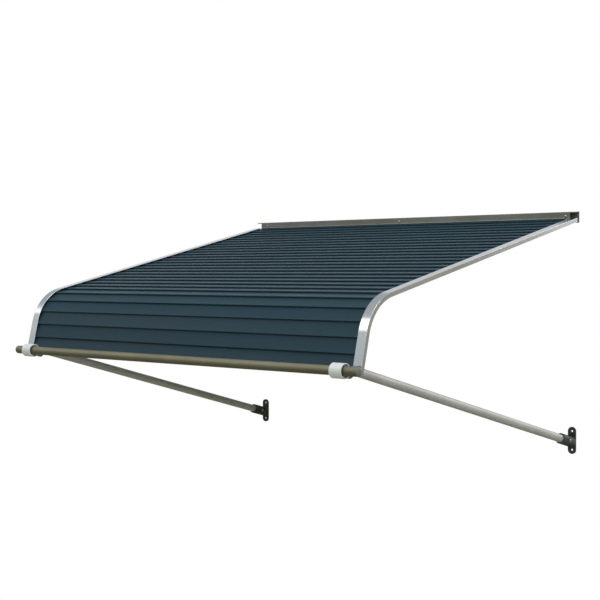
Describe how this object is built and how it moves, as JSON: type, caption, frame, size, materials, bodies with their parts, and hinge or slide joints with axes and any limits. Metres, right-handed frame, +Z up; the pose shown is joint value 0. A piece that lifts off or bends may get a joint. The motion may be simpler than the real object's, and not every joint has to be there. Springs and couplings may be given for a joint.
{
  "type": "door canopy",
  "caption": "Slatted metal canopy over a door: lapped slats in two bent side frames, a wall rail, a front bar and two round support arms with wall brackets.",
  "frame": {"origin": "on the wall plane at mid width, on the back face of the wall rail's flange; the roof's outer surface meets the wall 12.4 mm above it", "axes": "+X along the wall, +Y into the wall, +Z up; the canopy stands out from the wall towards -Y"},
  "size_m": [1.2518, 0.9925, 0.6684],
  "materials": {
    "frame": "satin drawn aluminium",
    "slat": "slate blue enamel on folded sheet",
    "rail": "satin, dulled",
    "tube": "satin, dulled",
    "collar": "white, smooth",
    "bracket": "dark paint over the cast skin",
    "plug": "dark grey, dull",
    "screw": "plated"
  },
  "bodies": {
    "root": {"wall_rail": "rail", "front_bar": "tube", "rail_screw_left": "screw", "rail_screw_middle": "screw", "rail_screw_right": "screw", "slat_01": "slat", "slat_02": "slat", "slat_03": "slat", "slat_04": "slat", "slat_05": "slat", "slat_06": "slat", "slat_07": "slat", "slat_08": "slat", "slat_09": "slat", "slat_10": "slat", "slat_11": "slat", "slat_12": "slat", "slat_13": "slat", "slat_14": "slat", "slat_15": "slat", "slat_16": "slat", "slat_17": "slat", "slat_18": "slat", "slat_19": "slat", "slat_20": "slat", "slat_21": "slat", "slat_22": "slat", "slat_23": "slat", "slat_24": "slat", "slat_25": "slat", "slat_26": "slat", "slat_27": "slat", "slat_28": "slat", "slat_29": "slat", "left_side_frame": "frame", "left_bar_plug": "plug", "left_bar_saddle": "plug", "left_saddle_screw": "screw", "left_collar": "collar", "left_arm_fitting": "tube", "left_collar_screw": "screw", "left_arm": "tube", "left_wall_bracket": "bracket", "left_bracket_bolt": "screw", "left_bracket_nut": "screw", "right_side_frame": "frame", "right_bar_plug": "plug", "right_bar_saddle": "plug", "right_saddle_screw": "screw", "right_collar": "collar", "right_arm_fitting": "tube", "right_collar_screw": "screw", "right_arm": "tube", "right_wall_bracket": "bracket", "right_bracket_bolt": "screw", "right_bracket_nut": "screw"}
  },
  "joints": []
}
